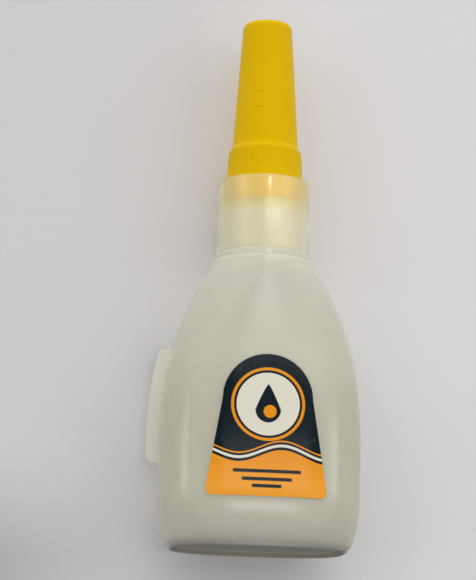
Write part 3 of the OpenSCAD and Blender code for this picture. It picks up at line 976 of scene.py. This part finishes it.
def sheet(name, corners, material):
    """A flat sheet through four corners, in metres, that faces by the right-hand rule."""
    mesh = bpy.data.meshes.new(name)
    mesh.from_pydata(corners, [], [(0, 1, 2, 3)])
    mesh.materials.append(material)
    thing = bpy.data.objects.new(name, mesh)
    bpy.context.scene.collection.objects.link(thing)
    return thing


paper = (0.73, 0.715, 0.73, 1)
ground, behind, floor_half, board_half = -0.00005, 0.0113, 3, 1
base_cover = (16.5, 8.9)
square = ((-1, -1), (1, -1), (1, 1), (-1, 1))
floor_corners = [(x * floor_half, y * floor_half, ground) for x, y in square]
board_corners = [(x * board_half, behind, z * board_half) for x, z in square]
floor = sheet("floor", floor_corners, stage_paper("floor_paper", paper, base_cover))
board = sheet("board", board_corners, shade_painted_paper("board_paper", paper, half_width=12, top=20))


# LIGHT AND CAMERA
# A bright room that is dimmer in front, where the camera stands, and a few lamps that make the highlights.
# The camera stands where the photograph was taken from, a little to the left and below.


def panel(name, turn_deg, level, width, height, radiance):
    """A soft rectangular lamp that faces the bottle, by its turn from the front, its level and its size."""
    reach, aim = 0.5, Vector((0, 0, 0.045))
    lamp = bpy.data.lights.new(name, "AREA")
    lamp.shape = "RECTANGLE"
    lamp.size, lamp.size_y = width, height
    lamp.energy = radiance * math.pi * width * height
    turn = math.radians(turn_deg)
    thing = bpy.data.objects.new(name, lamp)
    thing.location = (reach * math.sin(turn), -reach * math.cos(turn), level)
    thing.rotation_euler = (thing.location - aim).to_track_quat("Z", "Y").to_euler()
    thing.visible_camera = False
    bpy.context.scene.collection.objects.link(thing)


panel("front_strip", turn_deg=16, level=0.187, width=0.36, height=0.056, radiance=2.6)
panel("shoulder_spot", turn_deg=7, level=0.248, width=0.06, height=0.02, radiance=16.0)
panel("label_strip", turn_deg=7, level=0.092, width=0.27, height=0.014, radiance=8.0)
panel("foot_strip", turn_deg=7, level=-0.06, width=0.18, height=0.02, radiance=20.0)
panel("left_panel", turn_deg=-57, level=0.09, width=0.10, height=0.025, radiance=12.0)
panel("right_panel", turn_deg=47, level=0.09, width=0.10, height=0.025, radiance=12.0)

scene = bpy.context.scene
scene.world = bpy.data.worlds.new("soft_room")
scene.world.use_nodes = True
sky = scene.world.node_tree
ring_light, side_light, least_light = 0.54, 0.54, 0.43
dim_below, dim_over, upper_light, lower_light = -0.6, 0.9, 0.86, 0.2
generated = add(sky, "ShaderNodeTexCoord").outputs["Generated"]
direction = add(sky, "ShaderNodeSeparateXYZ", {0: generated}).outputs
front, above = Number(direction[1]) * -1.0, Number(direction[2])
facing = front.at_least(0.0) ** 2.0
ring = facing * (1 - facing) * 4.0
by_height = ((above - dim_below) / dim_over).share() * upper_light + (above + 1).share() * lower_light
room_light = (ring * ring_light + (1 - facing) * side_light + least_light) * by_height
plug(room_light, sky.nodes["Background"].inputs["Strength"])
sky.nodes["Background"].inputs["Color"].default_value = (1.0, 0.995, 0.99, 1)

sensor_height, picture_height, focal_pixels = 36, 580, 2758
camera_reach, aim_height, aim_right, aim_up = 0.5, 0.0485, 24.43, 5.0
camera = bpy.data.objects.new("camera", bpy.data.cameras.new("camera"))
scene.collection.objects.link(camera)
scene.camera = camera
camera.data.lens = sensor_height * focal_pixels / picture_height
camera.data.clip_start, camera.data.clip_end = 0.01, 20
turn, rise, lean = math.radians(-7), math.radians(-12.7), math.radians(1.28)
back = Vector((math.sin(turn) * math.cos(rise), -math.cos(turn) * math.cos(rise), math.sin(rise)))
level_right = Vector((math.cos(turn), math.sin(turn), 0))
level_up = back.cross(level_right)
right = level_right * math.cos(lean) + level_up * math.sin(lean)
up_way = level_up * math.cos(lean) - level_right * math.sin(lean)
pixel = camera_reach / focal_pixels
middle = Vector((0, 0, aim_height)) - right * aim_right * pixel - up_way * aim_up * pixel
eye = middle + back * camera_reach
camera.matrix_world = Matrix((
    (right.x, up_way.x, back.x, eye.x), (right.y, up_way.y, back.y, eye.y),
    (right.z, up_way.z, back.z, eye.z), (0, 0, 0, 1),
))
scene.view_settings.view_transform = "Standard"
